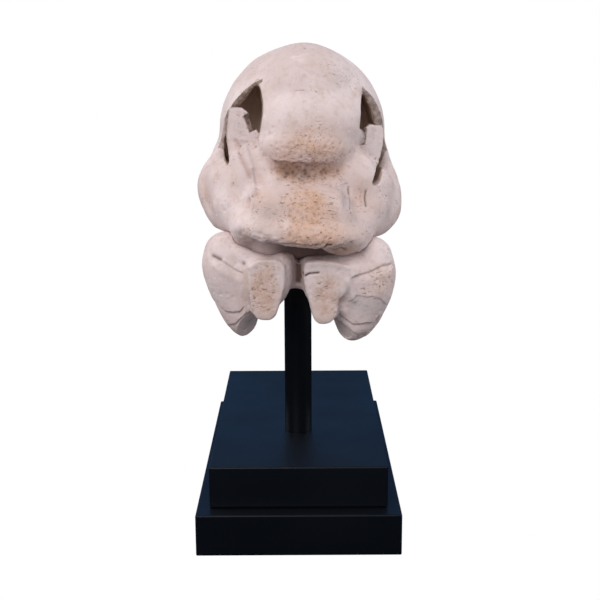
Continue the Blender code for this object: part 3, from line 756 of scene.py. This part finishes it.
class Nodes:
    """Short ways to add and link the nodes of one material."""

    def __init__(self, name=None, tree=None):
        if name:
            self.material = bpy.data.materials.new(name)
            self.material.use_nodes = True
            tree = self.material.node_tree
            self.shader = tree.nodes["Principled BSDF"]
        self.tree = tree
        self.place = self.add("ShaderNodeTexCoord").outputs["Object"]

    def add(self, kind, **settings):
        node = self.tree.nodes.new(kind)
        for name, value in settings.items():
            setattr(node, name, value)
        return node

    def feed(self, socket, value):
        if isinstance(value, bpy.types.NodeSocket):
            self.tree.links.new(value, socket)
        else:
            socket.default_value = value

    def noise(self, scale, detail=4.0, roughness=0.55, at=None):
        node = self.add("ShaderNodeTexNoise")
        self.feed(node.inputs["Vector"], at or self.place)
        self.feed(node.inputs["Scale"], scale)
        self.feed(node.inputs["Detail"], detail)
        self.feed(node.inputs["Roughness"], roughness)
        return node.outputs["Fac"]

    def cells(self, scale, feature="F1", at=None):
        node = self.add("ShaderNodeTexVoronoi", feature=feature)
        self.feed(node.inputs["Vector"], at or self.place)
        self.feed(node.inputs["Scale"], scale)
        return node.outputs["Distance"]

    def squash(self, amounts):
        node = self.add("ShaderNodeVectorMath", operation="MULTIPLY")
        self.feed(node.inputs[0], self.place)
        node.inputs[1].default_value = amounts
        return node.outputs[0]

    def dust(self, group, scale, amount):
        node = self.add("ShaderNodeGroup", node_tree=group)
        self.feed(node.inputs["Scale"], scale)
        self.feed(node.inputs["Amount"], amount)
        return node.outputs["Mask"]

    def painted(self, name):
        return self.add("ShaderNodeAttribute", attribute_name=name).outputs["Fac"]

    def ramp(self, value, low, high, to_low=0.0, to_high=1.0):
        node = self.add("ShaderNodeMapRange", interpolation_type="SMOOTHSTEP")
        for name, amount in (("Value", value), ("From Min", low), ("From Max", high),
                             ("To Min", to_low), ("To Max", to_high)):
            self.feed(node.inputs[name], amount)
        return node.outputs["Result"]

    def maths(self, operation, a, b=0.0):
        node = self.add("ShaderNodeMath", operation=operation, use_clamp=True)
        self.feed(node.inputs[0], a)
        self.feed(node.inputs[1], b)
        return node.outputs[0]

    def mix(self, amount, first, second, blend="MIX"):
        node = self.add("ShaderNodeMix", data_type="RGBA", blend_type=blend)
        self.feed(node.inputs["Factor"], amount)
        self.feed(node.inputs["A"], first)
        self.feed(node.inputs["B"], second)
        return node.outputs["Result"]

    def bump(self, height, distance, strength=1.0, over=None):
        node = self.add("ShaderNodeBump")
        self.feed(node.inputs["Height"], height)
        self.feed(node.inputs["Distance"], distance)
        self.feed(node.inputs["Strength"], strength)
        if over is not None:
            self.feed(node.inputs["Normal"], over)
        return node.outputs["Normal"]


def dust_group():
    """Sparse specks of dust: Scale sets how many, Amount how plain they are."""
    tree = bpy.data.node_groups.new("dust_specks", "ShaderNodeTree")
    for name, value in (("Scale", 120.0), ("Amount", 0.35)):
        socket = tree.interface.new_socket(name, in_out="INPUT", socket_type="NodeSocketFloat")
        socket.default_value = value
    tree.interface.new_socket("Mask", in_out="OUTPUT", socket_type="NodeSocketFloat")
    made = Nodes(tree=tree)
    start, end = made.add("NodeGroupInput"), made.add("NodeGroupOutput")
    specks = made.ramp(made.cells(start.outputs["Scale"]), 0.03, 0.08, 1, 0)
    specks = made.maths("MULTIPLY", specks, made.ramp(made.noise(30, 2), 0.60, 0.70))
    made.feed(end.inputs["Mask"], made.maths("MULTIPLY", specks, start.outputs["Amount"]))
    return tree


def bone_material(dust):
    """Mineral bone: pale and pinkish, mottled, tan where it is spongy, with dark pores."""
    made = Nodes("fossil_bone")
    broad = made.noise(11, 3)
    mottle = made.noise(48, 5, 0.6)
    fine = made.noise(260, 5, 0.65)
    dirt, stain, grey, inside, rim = [made.painted(name) for name in PAINTS]

    colour = made.mix(made.ramp(broad, 0.38, 0.64), PALE_BONE, ROSY_BONE)
    colour = made.mix(made.ramp(mottle, 0.50, 0.72, 0, 0.5), colour, SANDY_BONE)
    colour = made.mix(made.ramp(made.noise(30, 4), 0.60, 0.75, 0, 0.5), colour, CHALKY_BONE)
    colour = made.mix(made.ramp(made.noise(150, 4), 0.52, 0.70, 0, 0.3), colour, CLAY_BONE)
    tan = made.maths("MULTIPLY", stain, made.ramp(mottle, 0.25, 0.60, 0.25, 1))
    colour = made.mix(made.maths("MULTIPLY", tan, 0.8), colour, TAN_BONE)
    colour = made.mix(made.maths("MULTIPLY", grey, 0.8), colour, GREY_BONE)

    # Faint upright fibres, and blotches where the bone is stained.
    fibres = made.noise(260, 3, 0.6, at=made.squash((1.0, 1.0, 0.22)))
    colour = made.mix(made.ramp(fibres, 0.50, 0.70, 0, 0.2), colour, FIBRE)
    blotch = made.maths("MULTIPLY", stain, made.ramp(made.noise(110, 4, 0.7), 0.50, 0.66))
    colour = made.mix(made.maths("MULTIPLY", blotch, 0.5), colour, BLOTCH)

    # Pores: small ragged dashes, thick where the bone is spongy or stained, rare on the dome.
    flat = made.squash((1.0, 1.0, 2.1))
    dashes = made.ramp(made.noise(420, 2.5, 0.6, at=flat), 0.60, 0.68)
    thick = made.maths("ADD", made.noise(28, 3), made.maths("MULTIPLY", stain, 0.22))
    dashes = made.maths("MULTIPLY", dashes, made.ramp(thick, 0.52, 0.70))
    holes = made.ramp(made.noise(190, 2, 0.5, at=flat), 0.66, 0.71)
    holes = made.maths("MULTIPLY", holes, made.ramp(thick, 0.48, 0.66))
    marks = made.maths("MAXIMUM", made.maths("MULTIPLY", dashes, 0.75), holes)
    colour = made.mix(made.maths("MULTIPLY", marks, 0.6), colour, PORE)

    # Broken faces, the walls of hollows, then dirt with painted shade, and dust over all.
    grit = made.ramp(made.noise(190, 4, 0.7), 0.35, 0.65)
    colour = made.mix(rim, colour, made.mix(grit, BROKEN_DARK, BROKEN_LIGHT))
    colour = made.mix(inside, colour, made.mix(mottle, HOLLOW_DARK, HOLLOW_LIGHT))
    colour = made.mix(made.ramp(dirt, 0.06, 0.85, 0, 0.9), colour, EARTH_AND_SHADE)
    colour = made.mix(made.dust(dust, 90, 0.4), colour, BONE_DUST)
    made.feed(made.shader.inputs["Base Color"], colour)
    made.feed(made.shader.inputs["Roughness"], made.ramp(fine, 0.3, 0.7, 0.72, 0.92))
    made.shader.inputs["Specular IOR Level"].default_value = 0.25

    relief = made.bump(mottle, 0.0012, 0.5)
    relief = made.bump(fine, 0.0007, 1.0, over=relief)
    relief = made.bump(fibres, 0.0006, 0.6, over=relief)
    relief = made.bump(made.maths("SUBTRACT", 1.0, marks), 0.0007, 0.8, over=relief)
    made.feed(made.shader.inputs["Normal"], relief)
    return made.material


def lacquer_material(name, tint, roughness, dust):
    """Black paint on board or metal: a faint tint, a soft uneven sheen, dust specks."""
    made = Nodes(name)
    cloud = made.noise(9, 3)
    grain = made.noise(900, 3)
    colour = made.mix(cloud, tint, [0.6 * value for value in tint[:3]] + [1])
    colour = made.mix(made.dust(dust, 120, 0.35), colour, BLACK_DUST)
    made.feed(made.shader.inputs["Base Color"], colour)
    sheen = made.ramp(cloud, 0.3, 0.7, roughness - 0.04, roughness + 0.06)
    made.feed(made.shader.inputs["Roughness"], sheen)
    made.shader.inputs["Specular IOR Level"].default_value = 0.4
    made.feed(made.shader.inputs["Normal"], made.bump(grain, 0.00008, 0.5))
    return made.material


# ---------------------------------------------------------------- building

def keep_clear(made, solid, gap):
    """Moves the points that are inside the solid, or nearer than the gap, out to its surface."""
    tree = BVHTree.FromObject(solid, bpy.context.evaluated_depsgraph_get())
    for vert in made.data.vertices:
        spot, normal, _, away = tree.find_nearest(vert.co, 0.02)
        if spot is not None and (vert.co - spot).dot(normal) < gap:
            vert.co = spot + gap * normal
    made.data.update()


def soft_places(x, y, z):
    """Where the masses melt together: below the openings, and on the forehead between them."""
    low = np.clip((353 - z) / 9, 0, 1) * (y < 30)
    forehead = np.clip((36 - np.abs(x - 5.5)) / 8, 0, 1) * (y < 0) * (z > 340)
    behind = np.clip((y - 30) / 10, 0, 1) * (z < 400)
    return np.maximum(np.maximum(low, forehead), 0.8 * behind)


def build_skull(bone):
    """The skull as one skin, with the blind hole that the rod's tip sits in."""
    pieces = [cut_windows(piece) for piece in (hood(), face(), back_of_skull())]
    rough = fused(gathered("rough_cranium", pieces), ROUGH_VOXEL, 0)
    soften(rough, soft_places, 26)
    form = bmesh.new()
    prism(form, LEFT_SLIT, *LEFT_SLIT_DEPTH, "Y")
    prism(form, RIGHT_SLIT, *RIGHT_SLIT_DEPTH, "Y")
    cut(rough, "slits", form)
    made = fused(gathered("cranium", [rough, plates()]), SKIN_VOXEL, 2)
    skin = Skin(made)
    work_skull(skin)
    skin.finish()
    placed(made, SKULL_LEAN, SKULL_TURN)
    form = bmesh.new()
    wide = ROD_RADIUS + SOCKET_GAP
    circle = [(wide * cos(pi * i / 16), ROD_Y + wide * sin(pi * i / 16)) for i in range(32)]
    prism(form, circle, 0.1, ROD_TOP + SOCKET_GAP)
    cut(made, "rod_socket", form)
    return dressed(made, bone)


def build_jaw(bone, skull):
    """Both halves of the lower jaw: lobes, prongs between them, the chin bar and the side bars."""
    form = bmesh.new()
    # The hanging lobes.
    limb(form, [(-66, -78, 252, 19), (-65, -81, 240, 21), (-61, -85, 222, 18.5),
                (-54.5, -87, 207, 17.5), (-49, -87, 195, 15), (-47.5, -86, 187, 10)], depth=1.2)
    limb(form, [(66, -78, 252, 19), (66, -81, 238, 22.5), (64.5, -85, 222, 21),
                (59, -87, 206, 19), (53.5, -87, 194, 16), (51, -86, 187, 11)], depth=1.2)
    # The prongs, and the bars across the top that join them to the lobes and to each other.
    prism(form, LEFT_PRONG, *PRONG_DEPTH, "Y")
    prism(form, RIGHT_PRONG, *PRONG_DEPTH, "Y")
    limb(form, [(-56, -88, 248, 13), (-32, -93, 243, 12), (-14, -82, 241, 12), (-2, -75, 240, 12),
                (10, -82, 241, 12), (26, -92, 243, 12), (58, -86, 246, 15)])
    limb(form, [(-56, -94, 254, 9), (-38, -100, 248, 9), (-20, -98, 244, 9)])
    limb(form, [(-22, -86, 228, 13), (-12, -83, 233, 12.5), (0, -80, 234.5, 12.5),
                (9, -83, 233, 12.5), (17, -86, 229, 12)])
    # Rounding at the prongs' inner sides, between prong and lobe, and at the right lobe's tip.
    limb(form, [(-15, -99, 247, 11), (-15, -99, 232, 10.5), (-18, -98, 219, 8)])
    limb(form, [(-11, -91, 248, 9.5), (-11, -91, 232, 9)])
    limb(form, [(9, -92, 246, 8), (9, -92, 233, 7.5), (13, -92, 220, 6)])
    limb(form, [(-46, -96, 240, 13), (-46, -96, 224, 12), (-45, -95, 211, 8)])
    limb(form, [(46, -97, 240, 14), (47, -97, 224, 13), (47, -95, 210, 12)])
    limb(form, [(47, -88, 206, 13), (45.5, -88, 198, 12.5), (48, -88, 189, 11)])
    # The side bars that run back to the joint.
    for side in (-1, 1):
        limb(form, [(62, -62, 236, 22), (66, -30, 232, 18), (66, 5, 232, 16), (62, 40, 234, 13),
                    (57, 62, 237, 10), (54, 82, 236, 9)], side)
        limb(form, [(62, -60, 246, 14), (66, -20, 246, 11), (66, 14, 250, 10), (63, 34, 246, 9)],
             side)
        ball(form, (56, 58, 238), (13, 13, 8), side=side)
    made = fused(add_object("lower_jaw", mesh_of("lower_jaw", form)), ROUGH_VOXEL, 12)
    fused(made, SKIN_VOXEL, 2)
    skin = Skin(made)
    work_jaw(skin)
    skin.finish()
    placed(made, JAW_LEAN, 0)
    keep_clear(made, skull, JAW_GAP)
    return dressed(made, bone)


def dressed(made, material):
    """A finished piece: its one material, smooth shading, and a place in the scene."""
    made.data.materials.clear()
    made.data.materials.append(material)
    made.data.shade_smooth()
    for home in list(made.users_collection):
        home.objects.unlink(made)
    bpy.context.scene.collection.objects.link(made)
    return made


def set_camera():
    """Looks down a little at the face, from just over a metre away."""
    camera = bpy.data.cameras.new("camera")
    camera.lens = CAMERA_LENS
    camera.sensor_width = CAMERA_SENSOR
    made = bpy.data.objects.new("camera", camera)
    bpy.context.scene.collection.objects.link(made)
    forward = Vector((0, cos(CAMERA_PITCH), -sin(CAMERA_PITCH)))
    right = Vector((1, 0, 0))
    up = right.cross(forward)
    turned_right = cos(CAMERA_ROLL) * right + sin(CAMERA_ROLL) * up
    turned_up = cos(CAMERA_ROLL) * up - sin(CAMERA_ROLL) * right
    pose = Matrix((turned_right, turned_up, -forward)).transposed().to_4x4()
    pose.translation = CAMERA_SPOT
    made.matrix_world = pose
    bpy.context.scene.camera = made


def add_light(name, spot, target, size, power, colour):
    """A rectangular soft box at a spot, turned to its target."""
    light = bpy.data.lights.new(name, "AREA")
    light.shape = "RECTANGLE"
    light.size, light.size_y = size
    light.energy = power
    light.color = colour
    made = bpy.data.objects.new(name, light)
    made.location = spot
    made.rotation_euler = (Vector(target) - Vector(spot)).to_track_quat("-Z", "Y").to_euler()
    bpy.context.scene.collection.objects.link(made)


def by_ray(tree, lit, mirrored, seen):
    """One shader for what lights the scene, one for what gloss mirrors, one for what is seen."""
    path = tree.nodes.new("ShaderNodeLightPath")
    chosen = lit
    for kind, shader in (("Is Glossy Ray", mirrored), ("Is Camera Ray", seen)):
        choice = tree.nodes.new("ShaderNodeMixShader")
        tree.links.new(path.outputs[kind], choice.inputs[0])
        tree.links.new(chosen.outputs[0], choice.inputs[1])
        tree.links.new(shader.outputs[0], choice.inputs[2])
        chosen = choice
    return chosen.outputs[0]


def set_world():
    """White behind, a soft even room for the bone, a dim bluish one for the lacquer to mirror."""
    world = bpy.data.worlds.new("studio")
    bpy.context.scene.world = world
    world.use_nodes = True
    tree = world.node_tree
    tree.nodes.clear()
    rooms = []
    for colour, strength in (((0.93, 0.95, 1.0, 1), 0.68), ((0.08, 0.18, 0.38, 1), 0.88),
                             ((1, 1, 1, 1), 1.0)):
        room = tree.nodes.new("ShaderNodeBackground")
        room.inputs["Color"].default_value = colour
        room.inputs["Strength"].default_value = strength
        rooms.append(room)
    out = tree.nodes.new("ShaderNodeOutputWorld")
    tree.links.new(by_ray(tree, *rooms), out.inputs["Surface"])


def add_floor():
    """A table top that looks plain white, and lights the bone and the lacquer only dimly."""
    form = bmesh.new()
    bmesh.ops.create_grid(form, x_segments=1, y_segments=1, size=6)
    floor = bpy.data.objects.new("floor", mesh_of("floor", form))
    bpy.context.scene.collection.objects.link(floor)
    floor.location.z = -0.0005
    material = bpy.data.materials.new("white_table")
    material.use_nodes = True
    tree = material.node_tree
    shader = tree.nodes["Principled BSDF"]
    shader.inputs["Base Color"].default_value = (0.22, 0.22, 0.23, 1)
    shader.inputs["Roughness"].default_value = 0.9
    glow = tree.nodes.new("ShaderNodeEmission")
    dim = tree.nodes.new("ShaderNodeEmission")
    dim.inputs["Color"].default_value = (0.004, 0.008, 0.016, 1)
    tree.links.new(by_ray(tree, shader, dim, glow), tree.nodes["Material Output"].inputs["Surface"])
    floor.data.materials.append(material)


def main():
    dust = dust_group()
    bone = bone_material(dust)
    skull = build_skull(bone)
    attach(skull, "root")
    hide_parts("skull_dome", "snout", "skull_base", "cheek_left", "cheek_right")
    jaw = build_jaw(bone, skull)
    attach(jaw, "root")
    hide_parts("jaw_left", "jaw_right")
    for helper in list(helpers.objects):
        bpy.data.objects.remove(helper)
    bpy.data.collections.remove(helpers)

    board = lacquer_material("black_lacquer", BLACK_LACQUER, 0.42, dust)
    metal = lacquer_material("black_paint", BLACK_PAINT, 0.36, dust)
    for name, material in (("stand_plinth_lower", board), ("stand_plinth_upper", board),
                           ("stand_rod", metal)):
        node = frame["nodes"][name]
        node.data.materials.clear()
        node.data.materials.append(material)

    set_camera()
    set_world()
    add_floor()
    add_light("key", (-0.5, -1.3, 1.2), (0, 0, 0.3), (0.9, 0.9), 12, (1.0, 0.96, 0.93))
    add_light("edge_left", (-1.2, 0.4, 0.9), (0, 0, 0.35), (0.8, 1.0), 6, (0.95, 0.97, 1.0))
    add_light("edge_right", (1.3, 0.0, 0.8), (0, 0, 0.35), (0.8, 1.0), 6, (0.95, 0.97, 1.0))
    scene = bpy.context.scene
    scene.view_settings.view_transform = "Standard"
    scene.render.engine = "CYCLES"


main()
